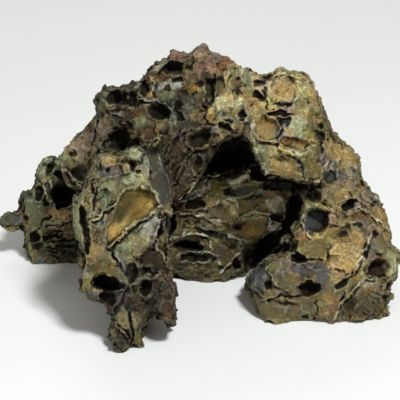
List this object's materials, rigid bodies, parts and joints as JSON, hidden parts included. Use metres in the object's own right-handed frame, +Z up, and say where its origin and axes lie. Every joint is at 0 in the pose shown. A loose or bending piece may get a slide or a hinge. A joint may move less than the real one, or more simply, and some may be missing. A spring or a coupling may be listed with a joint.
{
  "type": "dragon stone",
  "caption": "Craggy dragon stone: a weathered, deeply pitted rock that arches over a dark cave and stands on wide feet. Decor for a planted tank or a rock garden.",
  "frame": {"origin": "middle of the bottom of the stone's box, on the surface that it rests on", "axes": "+Z up, +X to the right along the width, -Y to the front, where the cave and the front slab are"},
  "size_m": [0.4206, 0.2727, 0.2622],
  "materials": {
    "weathered_stone": "matt, scooped and pitted, ochre to grey-green clay stone with reddish and blue-grey patches"
  },
  "bodies": {
    "root": {"dragon_stone": "weathered_stone"}
  },
  "joints": []
}
